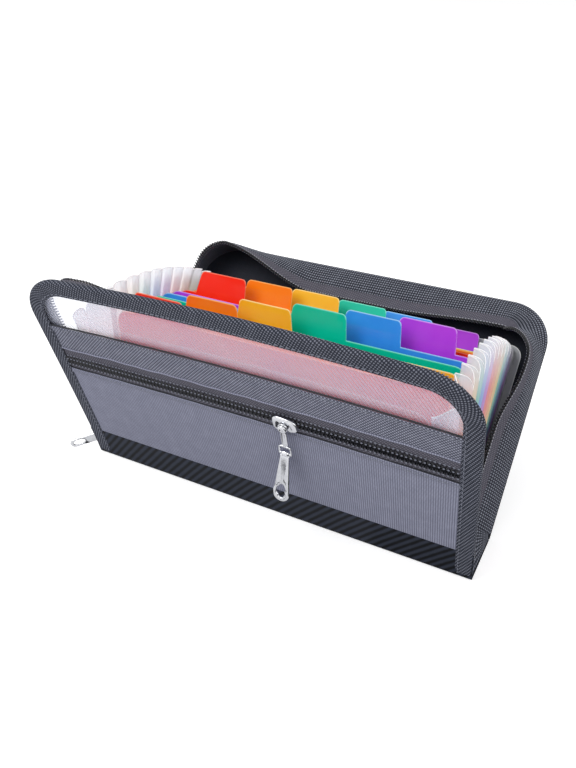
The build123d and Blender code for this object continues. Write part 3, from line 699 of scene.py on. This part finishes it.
outward = cos_a * ACROSS + sin_a * BACK_UP
share = np.linspace(0, WEBBING_SHARE, 12)
mid = wall(share)
facing = np.sign((normals(mid) * outward[:, None]).sum(-1).mean())
ribs = 1.2 + 0.35 * np.sin(2 * math.pi * run / RIB_PITCH)[:, None]
made = shell("wall_webbing", mid, ribs, joined(run[:, None], share * WALL), webbing_cloth)
dress(made, "back_tray", "wall_webbing", "tray_wall")
share = np.linspace(0, WEBBING_SHARE, 10)
mid = wall(share)
mid = mid - facing * normals(mid) * 1.0
flat = joined(run[::3, None], share * WALL)
made = shell("wall_inner_cloth", mid[::3], LINING, flat, wall_cloth)
dress(made, "back_tray", "lining_cloth", "wall_lining")
share = np.linspace(WEBBING_SHARE - 0.02, TAPE_SHARE, 8)
mid = wall(share)
flat = joined(run[::2, None], share * WALL)
made = shell("tray_tape", mid[::2], MAIN_TAPE, flat, zip_tape_cloth)
dress(made, "back_tray", "zip_tape", "tray_zip_tape")
edge = wall(np.array([TAPE_SHARE, (TAPE_SHARE + 1) / 2, 1.0]))
lean_way = unit(edge[:, 2] - edge[:, 0])
face_way = normals(edge)[:, 1] * facing
path = edge[:, 1]
made = coil("tray_coil", path, lean_way, face_way, nylon_coil, pitch=2.0, width=2.4, height=1.2, wire=0.5)
dress(made, "back_tray", "zip_coil", "tray_zip_coil")
coil_threads("tray_coil", "back_tray", path - lean_way * 0.5, face_way, run, (1.25, 0.75, 0.5))

# The wall's two ends, drawn down to the spine in a fan
for name, row, reach in (("left", 0, 18.0), ("right", -1, 34.0)):
    share = np.linspace(0, 1, 16)
    top = wall(share)[row]
    foot_x = np.sign(top[0, 0]) * (HALF - 0.9)
    foot = joined(foot_x, 18.0 - reach * share, 1.2)
    down = np.linspace(0, 1, 12)[:, None]
    mid = top + (foot - top) * down[..., None]
    made = shell(f"wall_end_{name}", mid, 1.0, joined(down * 18, share * WALL), webbing_cloth)
    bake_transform(made)

# Spine: outer cloth and lining
for name, low, thick, side, reach, finish, slot, solid in (
    ("spine_cloth", 0.3, 0.6, HALF, 18.5, black_twill, "black_twill", "spine_cover"),
    ("spine_inner_cloth", 1.8, LINING, 126.0, 17.7, lining_cloth, "lining_cloth", "spine_lining"),
):
    x, y = band_grid(side, -reach, reach, 60, 20)
    mid = joined(x, y, low)
    made = shell(name, mid, soft_edge(y, -reach, reach, thick, 0.5), joined(x, y), finish)
    dress(made, "spine", slot, solid)

# Accordion: the end films on the covers, and twelve tabbed dividers between
for name, spot, level, side, finish, body in (
    ("front", on_front, -1.55, FILM_SIDE, front_sheet_film, "front_cover"),
    ("back", on_back, 0.3, BACK_SHEET_SIDE, back_sheet_film, "back_tray"),
):
    x, v = cover_grid(side, SHEET_FOOT, SHEET_TOP, FILM_CORNER, 24)
    inset = np.minimum(side - np.abs(x), v.max(1, keepdims=True) - v)
    made = shell(f"{name}_film", spot(x, v, level), FILM, joined(x, inset), finish)
    dress(made, body, "frosted_film", f"accordion_{name}_sheet")


def tab_line(x, centre):
    """A divider's upper outline: a round-cornered sheet with a tab whose flanks slope and whose two
    corners are arcs."""
    off = np.abs(x - centre)
    tip = TAB_HALF - TAB_RISE / math.tan(TAB_SLOPE)
    round_at = tip - TAB_CORNER / math.tan((math.pi - TAB_SLOPE) / 2)
    flank = BODY_TOP + (TAB_HALF - off) * math.tan(TAB_SLOPE)
    into = np.clip(off - round_at, 0, TAB_CORNER)
    arc = BODY_TOP + TAB_RISE - TAB_CORNER + np.sqrt(TAB_CORNER ** 2 - into ** 2)
    tab = np.where(off < round_at + 0.99 * TAB_CORNER, arc, flank)
    return np.maximum(cover_top(x, FILM_SIDE, BODY_TOP, FILM_CORNER), np.where(off < TAB_HALF, tab, 0))


film_feet = [FRONT_HINGE - FRONT_OUT * 1.8]
film_leans = [-20.0]
for number in range(DIVIDERS):
    film_feet.append(np.array([0.0, FIRST_FOOT + FOOT_PITCH * number, FOOT_LEVEL]))
    film_leans.append(FIRST_LEAN + LEAN_STEP * number)
film_feet.append(BACK_HINGE + BACK_IN * 0.5)
film_leans.append(45.0)
divider_names = [None]


def lean_up(number):
    """The upward direction of a sheet of the accordion."""
    lean = math.radians(film_leans[number])
    return np.array([0, math.sin(lean), math.cos(lean)])


# Columns crowd at a tab's flanks and at the sheet's corners, rows at its upper edge
tab_columns = np.array([0, 7, 14.3, 15, 15.7, 16.3, 16.8, 17.1, 17.25, 17.6, 18.1, 18.6, 19.0, 19.4, 20.5])
straight_side = FILM_SIDE - FILM_CORNER
corner = straight_side + FILM_CORNER * np.sin(np.linspace(0, math.pi / 2, 7))
body_columns = np.concatenate([np.linspace(-straight_side, straight_side, 34), corner, -corner])
below = np.concatenate([[0, 0.7, 1.4, 3, 6, 10, 15, 22], np.linspace(32, BODY_TOP, 9)])[::-1] / BODY_TOP
# The ninth tab curls forward, clear of the tray's zip when the tray shuts
CURLED = {9: 1.6}

for number in range(1, DIVIDERS + 1):
    place_in_set = (number - 1) % len(HUES)
    hue = HUES[place_in_set]
    solid = f"divider_{number:02d}_{hue}_{'front' if number <= len(HUES) else 'back'}"
    divider_names.append(solid)
    centre = (place_in_set - 2.5) * TAB_PITCH
    columns = np.concatenate([body_columns, centre + tab_columns, centre - tab_columns])
    x = np.unique(columns.round(3))
    top = tab_line(x, centre)
    v = top[:, None] * (1 - below)
    up = lean_up(number)
    out = np.cross(ACROSS, up)
    phase = rng.uniform(0, 6.28)
    height = np.clip(v / BODY_TOP, 0, 1.2)
    curl = 0.45 * np.sin(phase + x / 45)[:, None] * height ** 2
    tip_curl = CURLED.get(number, rng.uniform(-0.7, 0.7))
    curl = curl + tip_curl * ease((v - BODY_TOP + 4) / 19) * np.exp(-((x - centre) / 22) ** 2)[:, None]
    mid = place(film_feet[number], up, out, x[:, None], v, curl)
    edge = joined(x, top)
    gaps = np.sqrt(((joined(x[:, None], v)[:, :, None] - edge[None, None]) ** 2).sum(-1)).min(-1)
    gaps = np.minimum(gaps, FILM_SIDE - np.abs(x)[:, None])
    made = shell(solid.replace("divider", "film"), mid, FILM, joined(x[:, None], gaps), hue_films[hue])
    dress(made, solid, hue + "_film", solid)

# Gussets: each pleat is two half films that meet on its fold, between the sheets beside it. The first is the
# widest, and lies between its sheets in the share by which it turns, so that it stays between them when the
# cover shuts
turn_share = [1.0, 0.23, 0.0] + [lean / 45 for lean in film_leans[3:13]] + [1.0]
carriers = ["front_cover", divider_names[1], *divider_names[3:], "back_tray"]


def unease(w):
    """The share at which the smooth step has a given height: half less the sine of a third of an arcsine."""
    return 0.5 - math.sin(math.asin(1 - 2 * w) / 3)


for side_name, side in (("left", -1), ("right", 1)):
    for pleat, carrier in enumerate(carriers):
        # Pleats beside a divider take the film with the divider's hue painted in as painted light
        tinted = pleat_shine_films[HUES[pleat % len(HUES)]] if pleat < DIVIDERS else pleat_film
        full = max(turn_share[pleat], turn_share[pleat + 1])
        ends = [turn_share[pleat] / full, turn_share[pleat + 1] / full]
        middle = sum(ends) / 2
        bend = np.linspace(0, math.pi / 2, 9)[:, None]
        share = np.linspace(0, 1, 14)[None]
        drop = PLEAT_DROP * (1 - np.cos(bend)) ** 2 + PLEAT_DIP * np.sin(bend) ** 2
        top = PLEAT_TOPS[side_name] - drop
        level = PLEAT_FOOT + (top - PLEAT_FOOT) * share
        near = film_feet[pleat] + level[..., None] * lean_up(pleat)
        far = film_feet[pleat + 1] + level[..., None] * lean_up(pleat + 1)
        x = side * (PLEAT_SIDE + (FOLD_SIDE - PLEAT_SIDE) * np.sin(bend)) + 0 * level
        for half_name, root, other, root_weight in (("a", near, far, ends[0]), ("b", far, near, ends[1])):
            low, high = unease(root_weight), unease(middle)
            step = 0.5 * (1 - np.cos(bend))[..., None]
            if pleat == 0:
                turned = ease(low + (high - low) * np.sin(bend)) - root_weight
                step = 0.5 * turned[..., None] / (middle - root_weight)
            gap = 0.5 * unit(other - root)
            mid = root + gap + (other - root - 2 * gap) * step
            mid = mid + (x[..., None] - mid[..., :1]) * ACROSS
            flat = joined(level + 0 * x, (top - level) + 0 * x)
            made = shell(f"{side_name}_pleat_{pleat:02d}_{half_name}", mid, PLEAT_FILM, flat, tinted)
            length = (FOLD_SIDE - PLEAT_SIDE) / (high - low)
            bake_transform(made)
            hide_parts(f"{side_name}_gusset")


# Polished metal: the pocket slider with its link and pull, and the main pull
def rod(name, path, up, radius, thick=None):
    """A round bar along a path in one plane, with its ends rounded off over a quarter circle."""
    run = run_along(path)
    near = np.minimum(run, run[-1] - run) / radius
    size = np.sqrt(np.maximum(1 - (1 - np.clip(near, 0, 1)) ** 2, 0.02))[:, None, None]
    side = unit(np.cross(np.gradient(path, axis=0), up))[:, None]
    angle = (np.arange(12) * math.pi / 6)[None, :, None]
    rings = path[:, None] + size * (radius * np.cos(angle) * side + (thick or radius) * np.sin(angle) * up)
    return sweep(name, rings, np.zeros((*rings.shape[:2], 2)), nickel)


def straight(a, b, radius):
    """Points of a straight bar, close together at its two ends."""
    length = np.linalg.norm(b - a)
    step = radius * (1 - np.cos(np.linspace(0, math.pi / 2, 6)))
    share = np.concatenate([step, length - step[::-1]]) / length
    return a + (b - a) * share[:, None]


def along_line(points, step=0.4):
    """A line through corner points at even steps."""
    points = np.asarray(points, float)
    run = run_along(points)
    return sampled(points, run, np.linspace(0, run[-1], int(run[-1] / step)))


def plate(name, origin, right, up, outline, slot_at, slot, thick, bevel):
    """A flat pull with a slot. Rays from the slot's middle reach its rim and the outline, and between them
    the section is a flat bar with round edges."""
    edge = along_line(np.concatenate([outline, outline[:1]]), 0.5)[:-1] - (0, slot_at)
    turn, far = np.arctan2(edge[:, 1], edge[:, 0]), np.linalg.norm(edge, axis=1)
    order = np.argsort(turn)
    turn, far = turn[order], far[order]
    arc = np.linspace(0, 2 * math.pi, 200, endpoint=False)
    rim = slot[1] / 2 * joined(np.cos(arc), np.sin(arc))
    rim[:, 1] += np.sign(np.sin(arc)) * (slot[0] - slot[1]) / 2
    near = np.interp(turn, np.arctan2(rim[:, 1], rim[:, 0]), np.linalg.norm(rim, axis=1), period=2 * math.pi)
    bend = np.linspace(0, math.pi / 2, 5)
    lift, step = np.sin(bend) * thick / 2, bevel * (1 - np.cos(bend))
    near, far, turn = near[:, None], far[:, None], turn[:, None]
    reach = np.concatenate([near + step, far - step[::-1], far - step[1:], near + step[:0:-1]], 1)
    height = np.concatenate([lift, lift[::-1], -lift[1:], -lift[:0:-1]])
    across, rise = reach * np.cos(turn), reach * np.sin(turn) + slot_at
    face = across[..., None] * right + rise[..., None] * up
    return loop(name, origin + face + height[:, None] * np.cross(right, up), nickel)


def button(name, origin, right, up, half, profile, taper=0.0, power=1.0):
    """A stack of rounded outlines: each step of the profile gives the outline's scale and its height."""
    turn = np.arange(40) * math.pi / 20
    x = np.sign(np.cos(turn)) * np.abs(np.cos(turn)) ** power * half[0]
    y = np.sign(np.sin(turn)) * np.abs(np.sin(turn)) ** power * half[1] * (1 - taper * x / half[0])
    scale, height = np.array(profile).T[:, :, None, None]
    rings = origin + scale * (x[:, None] * right + y[:, None] * up) + height * np.cross(right, up)
    return sweep(name, rings, np.zeros((*rings.shape[:2], 2)), nickel)


SLIDER_BODY = (
    (0.88, 1.6), (0.97, 1.8), (1.0, 2.2), (1.0, 2.7), (0.98, 3.05),
    (0.93, 3.35), (0.82, 3.65), (0.64, 3.9), (0.4, 4.05), (0.02, 4.1),
)
SLIDER_STUD = (
    (0.56, 3.9), (0.56, 5.8), (0.9, 5.9), (1.0, 6.15),
    (0.95, 6.5), (0.75, 6.85), (0.4, 7.05), (0.02, 7.1),
)
SLIDER_AT = 27.5
LINK_LEVEL = 4.95
LINK_REACH = 22.0
MAIN_PULL_AT = (-133.65, 5.5, -9.0)
slider = place(FRONT_HINGE, FRONT_UP, FRONT_OUT, SLIDER_AT, ZIP_LINE, 0)
for made in (
    button("slider_body", slider, ACROSS, FRONT_UP, (7.5, 5.25), SLIDER_BODY, 0.14, 0.62),
    button("slider_stud", slider, ACROSS, FRONT_UP, (2.7, 2.7), SLIDER_STUD),
):
    dress(made, "pocket_slider", "nickel_plate", "pocket_slider")

swing = math.radians(4)
hang_x = math.cos(swing) * ACROSS - math.sin(swing) * FRONT_UP
hang_y = np.cross(FRONT_OUT, hang_x)
link = slider + LINK_LEVEL * FRONT_OUT
turn = (np.arange(36) * math.pi / 18)[:, None, None]
small = (np.arange(10) * math.pi / 5)[None, :, None]
spoke = np.cos(turn) * hang_x + np.sin(turn) * hang_y
ring = link + spoke * (2.45 + 0.62 * np.cos(small)) + 0.58 * np.sin(small) * FRONT_OUT
shank = straight(link - 2.6 * hang_y, link - 16.2 * hang_y, 1.9)
prong = np.array([(-3.5, -22.8), (-3.5, -17.2), (-3.1, -16.4), (-2.3, -16.0)])
fork = along_line(np.concatenate([prong, (prong * (-1, 1))[::-1]]))
fork = link + fork[:, :1] * hang_x + fork[:, 1:] * hang_y
pin = link - LINK_REACH * hang_y
for made in (
    loop("link_eye", ring, nickel),
    rod("link_shank", shank, FRONT_OUT, 1.9, 0.62),
    rod("link_fork", fork, FRONT_OUT, 0.62),
    rod("link_pin", straight(pin - 4.1 * hang_x, pin + 4.1 * hang_x, 0.8), FRONT_OUT, 0.8),
):
    dress(made, "pocket_link", "nickel_plate", "pocket_link")

plumb = math.cos(FRONT_LEAN) * FRONT_OUT + math.sin(FRONT_LEAN) * hang_y
fall = np.cross(plumb, hang_x)
arc = np.linspace(0, -math.pi, 40)[1:-1]
belly = joined(5 * np.cos(arc), -28 + 5 * np.sin(arc))
drop = np.concatenate([[(-2.7, -0.95), (2.7, -0.95), (5, -28)], belly, [(-5, -28)]])
for made in (
    plate("pull_drop", pin, hang_x, fall, drop, slot_at=-25.75, slot=(9.0, 3.4), thick=1.8, bevel=1.5),
    rod("pull_barrel", straight(pin - 2.7 * hang_x, pin + 2.7 * hang_x, 1.9), plumb, 1.9),
):
    dress(made, "pocket_pull", "nickel_plate", "pocket_pull")

tip = place(FRONT_HINGE, FRONT_UP, FRONT_OUT, *MAIN_PULL_AT)
away = unit(FRONT_OUT - ACROSS)
arc = np.linspace(0, math.pi, 40)
round_end = joined(3.7 * np.cos(arc), 22.3 + 3.7 * np.sin(arc))
strap = np.concatenate([[(-3.7, 1.0), (3.7, 1.0)], round_end])
size = {"slot_at": 19.63, "slot": (8.0, 3.4), "thick": 1.5, "bevel": 0.95}
made = plate("main_pull_strap", tip, -FRONT_UP, away, strap, **size)
dress(made, "main_pull", "nickel_plate", "main_pull")
for name, way in (("upper", 1), ("lower", -1)):
    bar = straight(tip + way * 0.8 * FRONT_UP, tip + way * 4.0 * FRONT_UP, 0.7)
    dress(rod(f"main_pull_ear_{name}", bar, away, 1.5), "main_pull", "nickel_plate", "main_pull")

# Pieces whose solids are right as they are
for names, finish in (
    (("main_slider",), nickel),
    (("spine_board", "back_board"), chipboard),
    (("accordion_base",), pleat_film),
):
    for name in names:
        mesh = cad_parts[name].data
        mesh.materials.clear()
        mesh.materials.append(finish)


# Floor, light and the camera at the photograph's angle
def flat_card(name, quads, level, finish):
    """Flat quads in metres on one level."""
    points = np.reshape(quads, (-1, 2))
    points = np.concatenate([points, np.full((len(points), 1), level)], 1)
    mesh = bpy.data.meshes.new(name)
    mesh.from_pydata(points.tolist(), [], np.arange(len(points)).reshape(-1, 4).tolist())
    mesh.materials.append(finish)
    made = bpy.data.objects.new(name, mesh)
    bpy.context.scene.collection.objects.link(made)
    return made


# White paper gives an even bright ground, lifted a little where the camera sees it
paper, tree = new_finish("floor_paper_white")
ray = node(tree, "ShaderNodeLightPath").outputs["Is Camera Ray"]
lift = node(tree, "ShaderNodeMath", {0: ray, 1: 0.42}, operation="MULTIPLY")
shader = node(tree, "ShaderNodeBsdfPrincipled", {
    "Base Color": hexed("F4F4F5"), "Roughness": 0.9,
    "Emission Color": (1, 1, 1, 1), "Emission Strength": lift.outputs[0],
})
node(tree, "ShaderNodeOutputMaterial", {"Surface": shader.outputs[0]})
floor = flat_card("floor", [((-60, -60), (60, -60), (60, 60), (-60, 60))], 0.0, paper)

world = bpy.data.worlds.new("studio")
bpy.context.scene.world = world
world.use_nodes = True
tree = world.node_tree
tree.nodes.clear()
rays = node(tree, "ShaderNodeLightPath").outputs
seen = rays["Is Camera Ray"]
for kind in ("Is Transmission Ray", "Is Glossy Ray"):
    seen = node(tree, "ShaderNodeMath", {0: seen, 1: rays[kind]}, operation="MAXIMUM").outputs[0]
level = node(tree, "ShaderNodeMapRange", {0: seen, 1: 0.0, 2: 1.0, 3: 0.74, 4: 1.0}).outputs[0]
sky = node(tree, "ShaderNodeBackground", {"Color": (1, 1, 1, 1), "Strength": level})
node(tree, "ShaderNodeOutputWorld", {"Surface": sky.outputs[0]})


def soft_lamp(name, spot, aim, size, power):
    """A square soft box at a spot, turned to face its aim."""
    lamp = bpy.data.lights.new(name, "AREA")
    lamp.shape = "SQUARE"
    lamp.size = size
    lamp.energy = power
    made = bpy.data.objects.new(name, lamp)
    bpy.context.scene.collection.objects.link(made)
    back = unit(np.array(spot, float) - np.array(aim, float))
    right = unit(np.cross((0, 0, 1), back))
    turn = np.stack([right, np.cross(back, right), back], -1)
    made.matrix_world = Matrix([[*turn[k], spot[k]] for k in range(3)] + [[0, 0, 0, 1]])


soft_lamp("key", (-0.5, -0.7, 1.0), (0, 0, 0.05), 0.7, 7.4)
soft_lamp("fill", (0.9, -0.5, 0.7), (0, 0, 0.05), 0.8, 2.6)

# Black flags low on the floor, seen only in reflections, give the two pulls and the slider dark lines
FLAGS = (
    ((0.07, -0.4), (0.4, -0.4), (0.4, 0), (0.07, 0)),
    ((-0.0195, -0.154), (-0.017, -0.154), (0.014, -0.08), (0.0095, -0.08)),
    ((-0.1435, -0.045), (-0.1415, -0.045), (-0.1415, -0.01), (-0.1435, -0.01)),
    ((-0.034, -0.1), (-0.018, -0.1), (-0.018, -0.055), (-0.034, -0.055)),
)
card = flat_card("flag", FLAGS, 0.001, thread_black)
card.visible_camera = card.visible_diffuse = card.visible_shadow = card.visible_transmission = False

EYE = (0.17857, -0.3542, 0.2898)
EYE_RIGHT = (0.88657, 0.46148, 0.03195)
EYE_DOWN = (0.24123, -0.40229, -0.88316)
EYE_AHEAD = (-0.39471, 0.79069, -0.46798)
FOCAL_PIXELS = 739.2
PHOTO_HEIGHT = 768
view = bpy.data.cameras.new("photo_view")
view.sensor_fit = "VERTICAL"
view.sensor_height = 36.0
view.lens = 36.0 * FOCAL_PIXELS / PHOTO_HEIGHT
view.clip_start = 0.01
camera = bpy.data.objects.new("photo_view", view)
bpy.context.scene.collection.objects.link(camera)
camera.matrix_world = Matrix(
    [[EYE_RIGHT[k], -EYE_DOWN[k], -EYE_AHEAD[k], EYE[k]] for k in range(3)] + [[0, 0, 0, 1]]
)
bpy.context.scene.camera = camera
bpy.context.scene.view_settings.view_transform = "Standard"
